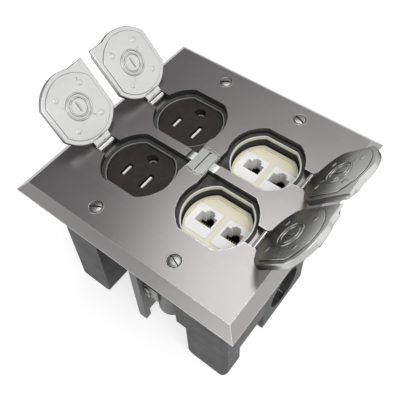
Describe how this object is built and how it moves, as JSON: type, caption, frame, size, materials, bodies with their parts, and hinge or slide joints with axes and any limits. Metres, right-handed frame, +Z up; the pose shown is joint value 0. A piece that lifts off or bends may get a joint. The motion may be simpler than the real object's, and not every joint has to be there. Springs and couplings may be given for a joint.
{
  "type": "floor socket box",
  "caption": "Floor socket box: square bevelled cover with hinged lids over power and data sockets, a turning lock in the middle and an open cast box on legs below.",
  "frame": {"origin": "on the floor of the pocket, at the level of the four leg ends, under the middle of the square cover plate", "axes": "+Z up out of the floor, +X from the power outlets to the data outlets, +Y from the near edge in the picture to the far edge"},
  "size_m": [0.1504, 0.1276, 0.1195],
  "materials": {
    "brushed_plate": "brushed satin aluminium",
    "lid_metal": "cast aluminium, tumbled",
    "lock_metal": "cast aluminium",
    "screw_steel": "bright zinc plate",
    "pin_steel": "turned steel",
    "spring_steel": "spring steel",
    "zinc_steel": "zinc plated sheet",
    "box_paint": "grey paint on a casting",
    "partition_paint": "grey paint on sheet",
    "seal_rubber": "matt",
    "gasket_rubber": "matt",
    "black_plastic": "moulded, fine grain",
    "ivory_plastic": "moulded",
    "white_plastic": "moulded",
    "cap_plastic": "moulded",
    "sleeve_plastic": "moulded grey",
    "brass": "stamped brass",
    "gold_contacts": "gold plated wire",
    "green_screw": "green plated"
  },
  "bodies": {
    "box": {"box_legs": "box_paint", "box_ring": "box_paint", "box_sides": "box_paint", "cable_bracket": "zinc_steel", "cable_hub": "sleeve_plastic", "cable_saddle": "zinc_steel", "conduit_blocks": "box_paint", "conduit_set_screws": "screw_steel", "cover_plate": "brushed_plate", "cover_screws": "screw_steel", "cover_seal": "seal_rubber", "data_collars": "seal_rubber", "data_frame": "ivory_plastic", "data_jack_back_left": "white_plastic", "data_jack_back_right": "white_plastic", "data_jack_front_left": "white_plastic", "data_jack_front_right": "white_plastic", "data_mounting_screws": "screw_steel", "device_rails": "zinc_steel", "ground_lug": "zinc_steel", "ground_lug_screw": "zinc_steel", "hinge_pin_back_left": "pin_steel", "hinge_pin_back_right": "pin_steel", "hinge_pin_front_left": "pin_steel", "hinge_pin_front_right": "pin_steel", "jack_cap_back_left": "cap_plastic", "jack_cap_back_right": "cap_plastic", "jack_cap_front_left": "cap_plastic", "jack_cap_front_right": "cap_plastic", "jack_contacts_back_left": "gold_contacts", "jack_contacts_back_right": "gold_contacts", "jack_contacts_front_left": "gold_contacts", "jack_contacts_front_right": "gold_contacts", "lid_gasket_back_left": "gasket_rubber", "lid_gasket_back_right": "gasket_rubber", "lid_gasket_front_left": "gasket_rubber", "lid_gasket_front_right": "gasket_rubber", "lock_washer": "spring_steel", "outlet_base": "black_plastic", "outlet_face": "black_plastic", "outlet_ground_contacts": "brass", "outlet_ground_screw": "green_screw", "outlet_hot_contacts": "brass", "outlet_hot_screws": "brass", "outlet_mounting_screws": "screw_steel", "outlet_neutral_contacts": "brass", "outlet_neutral_screws": "screw_steel", "outlet_rivet": "screw_steel", "outlet_strap": "zinc_steel", "partition": "partition_paint", "partition_screws": "screw_steel", "rail_lugs": "box_paint", "rail_screws": "screw_steel", "saddle_screws": "screw_steel"},
    "lock": {"lock_disc": "lock_metal", "lock_clip": "spring_steel"},
    "lid_front_left": {"lid_front_left": "lid_metal"},
    "lid_back_left": {"lid_back_left": "lid_metal"},
    "lid_front_right": {"lid_front_right": "lid_metal"},
    "lid_back_right": {"lid_back_right": "lid_metal"}
  },
  "joints": [
    {"name": "lock_turn", "type": "hinge", "parent": "box", "child": "lock", "pos_m": [0, 0, 0.0872], "axis": [0, 0, 1], "range_deg": [0, 45]},
    {"name": "lid_front_left_hinge", "type": "hinge", "parent": "box", "child": "lid_front_left", "pos_m": [-0.0466, -0.01945, 0.0862], "axis": [0, -1, 0], "range_deg": [-130, 0]},
    {"name": "lid_back_left_hinge", "type": "hinge", "parent": "box", "child": "lid_back_left", "pos_m": [-0.0466, 0.01945, 0.0862], "axis": [0, -1, 0], "range_deg": [-130, 0]},
    {"name": "lid_front_right_hinge", "type": "hinge", "parent": "box", "child": "lid_front_right", "pos_m": [0.0466, -0.01945, 0.0862], "axis": [0, 1, 0], "range_deg": [-130, 0]},
    {"name": "lid_back_right_hinge", "type": "hinge", "parent": "box", "child": "lid_back_right", "pos_m": [0.0466, 0.01945, 0.0862], "axis": [0, 1, 0], "range_deg": [-130, 0]}
  ]
}
